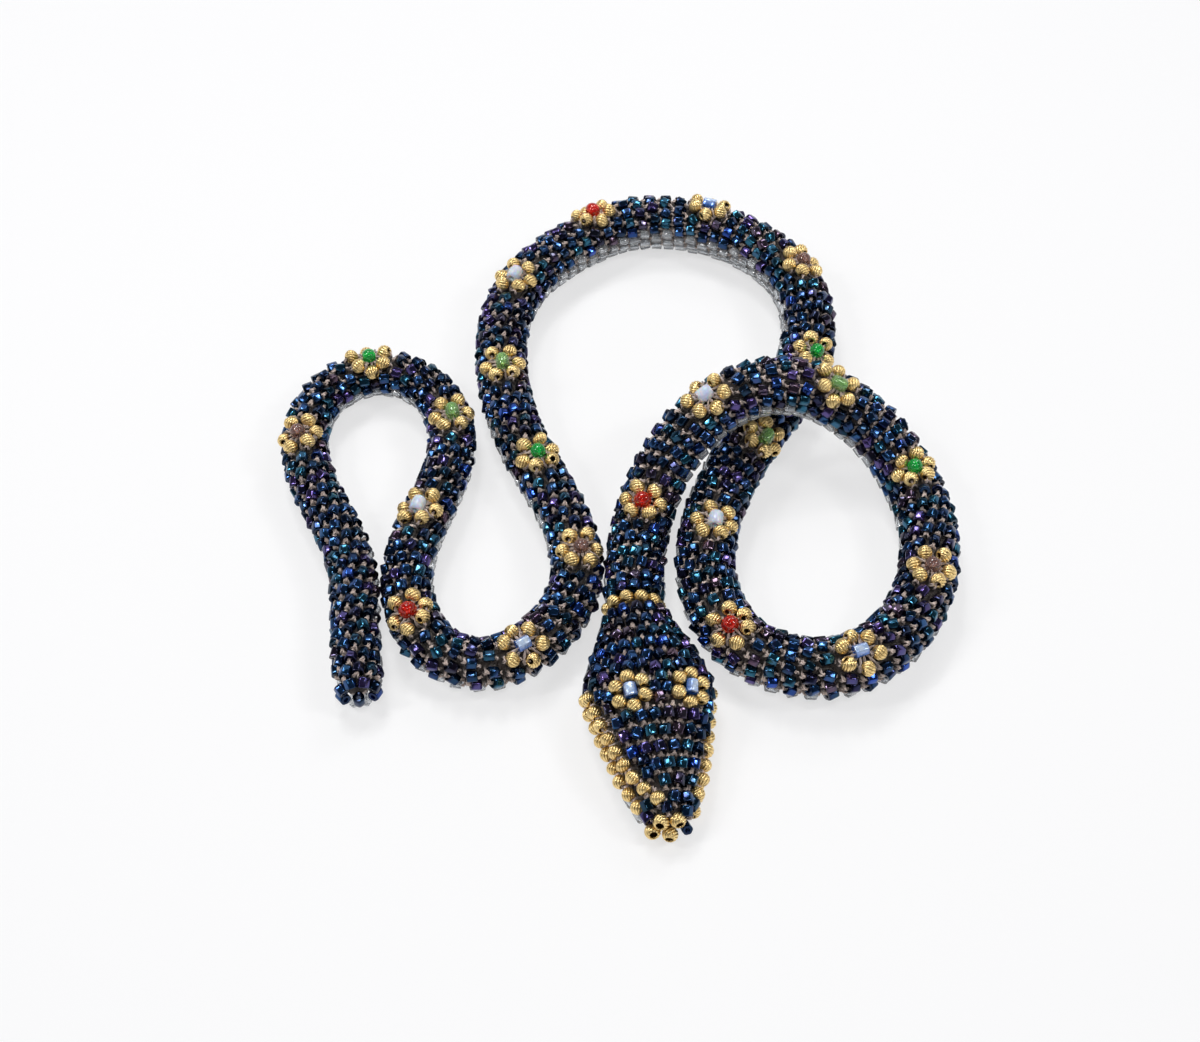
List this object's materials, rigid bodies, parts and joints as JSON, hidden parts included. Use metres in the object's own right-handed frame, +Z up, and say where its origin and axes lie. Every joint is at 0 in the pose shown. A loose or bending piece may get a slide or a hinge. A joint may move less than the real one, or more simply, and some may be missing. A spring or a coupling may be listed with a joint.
{
  "type": "bead crochet snake",
  "caption": "Coiled bead-crochet snake of blue glass scales with gold bead flowers, clear belly and a gold-lipped head.",
  "frame": {"origin": "middle of the whole snake's outline seen from above, at the surface it lies on", "axes": "+Z up, the head points towards -Y and slightly +X, +X to the snake's left as it faces -Y"},
  "size_m": [0.1152, 0.1324, 0.0213],
  "materials": {
    "scale_glass": "glossy dark blue with a metallic sheen",
    "clear_glass": "clear, glossy",
    "flower_glass": "glossy; six colours in turn",
    "eye_glass": "silver-lined, glossy",
    "gold": "polished, fluted",
    "thread": "matt twisted thread"
  },
  "bodies": {
    "coil": {"coil_core": "thread", "coil_scales": "scale_glass", "coil_petals": "gold", "coil_centres": "flower_glass", "coil_belly": "clear_glass", "coil_rest": "clear_glass", "neck_bend_core": "thread", "neck_bend_beads": "scale_glass", "back_bend_core": "thread", "back_bend_beads": "scale_glass"},
    "neck": {"neck_core": "thread", "neck_scales": "scale_glass", "neck_petals": "gold", "neck_centre": "flower_glass", "neck_belly": "clear_glass", "neck_rest": "clear_glass", "collar": "gold", "nape_bend_core": "thread", "nape_bend_beads": "scale_glass"},
    "head": {"head_stuffing": "thread", "head_scales": "scale_glass", "head_belly": "clear_glass", "head_rest": "clear_glass", "lip": "gold", "eyes": "eye_glass", "eye_rings": "gold", "snout_beads": "gold"},
    "back": {"back_core": "thread", "back_scales": "scale_glass", "back_petals": "gold", "back_centres": "flower_glass", "back_belly": "clear_glass", "back_rest": "clear_glass", "s_flex_core": "thread", "s_flex_beads": "scale_glass"},
    "s_bend": {"s_bend_core": "thread", "s_bend_scales": "scale_glass", "s_bend_petals": "gold", "s_bend_centres": "flower_glass", "s_bend_belly": "clear_glass", "s_bend_rest": "clear_glass", "loop_bend_core": "thread", "loop_bend_beads": "scale_glass"},
    "tail": {"tail_core": "thread", "tail_scales": "scale_glass", "tail_petals": "gold", "tail_centres": "flower_glass", "tail_belly": "clear_glass", "tail_rest": "clear_glass", "tip_bend_core": "thread", "tip_bend_beads": "scale_glass"},
    "tip": {"tip_core": "thread", "tip_scales": "scale_glass", "tip_belly": "clear_glass", "tip_rest": "clear_glass"}
  },
  "joints": [
    {"name": "neck_lift", "type": "hinge", "parent": "coil", "child": "neck", "pos_m": [0.00985, 0.00129, 0.01046], "axis": [-0.7975, 0.6034, 0], "range_deg": [0, 30], "deforming": ["neck_bend_core", "neck_bend_beads"]},
    {"name": "head_nod", "type": "hinge", "parent": "neck", "child": "head", "pos_m": [0.00383, -0.02967, 0.0052], "axis": [-0.9914, -0.1305, 0], "range_deg": [0, 20], "deforming": ["nape_bend_core", "nape_bend_beads"]},
    {"name": "back_swing", "type": "hinge", "parent": "coil", "child": "back", "pos_m": [0.03542, 0.03613, 0.0052], "axis": [0, 0, -1], "range_deg": [0, 10], "deforming": ["back_bend_core", "back_bend_beads"]},
    {"name": "s_swing", "type": "hinge", "parent": "back", "child": "s_bend", "pos_m": [-0.01966, 0.03338, 0.00489], "axis": [0, 0, -1], "range_deg": [0, 15], "deforming": ["s_flex_core", "s_flex_beads"]},
    {"name": "loop_open", "type": "hinge", "parent": "s_bend", "child": "tail", "pos_m": [-0.03305, 0.02131, 0.00431], "axis": [0, 0, -1], "range_deg": [0, 20], "deforming": ["loop_bend_core", "loop_bend_beads"]},
    {"name": "tail_tip", "type": "hinge", "parent": "tail", "child": "tip", "pos_m": [-0.0501, -0.00171, 0.0043], "axis": [0, 0, -1], "range_deg": [0, 30], "deforming": ["tip_bend_core", "tip_bend_beads"]}
  ]
}
